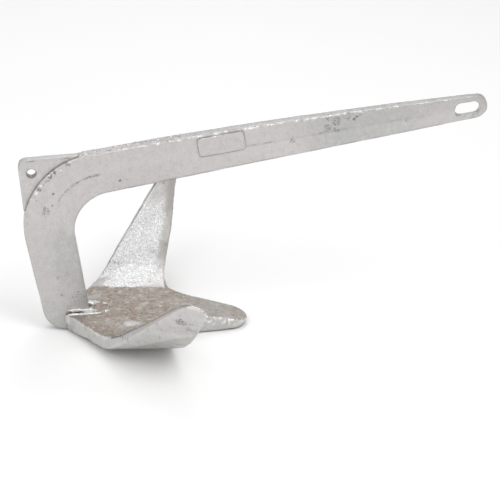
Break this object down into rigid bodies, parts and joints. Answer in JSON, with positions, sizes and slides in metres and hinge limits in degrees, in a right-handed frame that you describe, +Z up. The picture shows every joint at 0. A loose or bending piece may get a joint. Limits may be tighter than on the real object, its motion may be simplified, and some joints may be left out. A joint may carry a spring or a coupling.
{
  "type": "claw anchor",
  "caption": "Galvanised claw-type boat anchor: rigid shank with a shackle slot and trip-line hole, flat palm, centre fluke and upturned side flukes.",
  "frame": {"origin": "middle of the footprint, on the ground the anchor stands on", "axes": "+X forward, from the heel to the shackle eye; +Y to the left side fluke; +Z up, square to the flat underside of the centre fluke"},
  "size_m": [0.5254, 0.37, 0.273],
  "materials": {
    "shank_zinc": "hot-dip galvanised casting, mottled light grey",
    "claw_zinc": "hot-dip galvanised casting, rougher and slightly warmer grey",
    "bead_zinc": "galvanised bead, bright and lumpy"
  },
  "bodies": {
    "root": {"shank_arm": "shank_zinc", "shackle_eye": "shank_zinc", "shank_bend": "shank_zinc", "shank_leg": "shank_zinc", "trip_line_web": "shank_zinc", "weight_plate": "shank_zinc", "palm": "claw_zinc", "centre_fluke": "claw_zinc", "side_fluke_left": "claw_zinc", "side_fluke_right": "claw_zinc", "foot_bead_left": "bead_zinc", "foot_bead_right": "bead_zinc"}
  },
  "joints": []
}
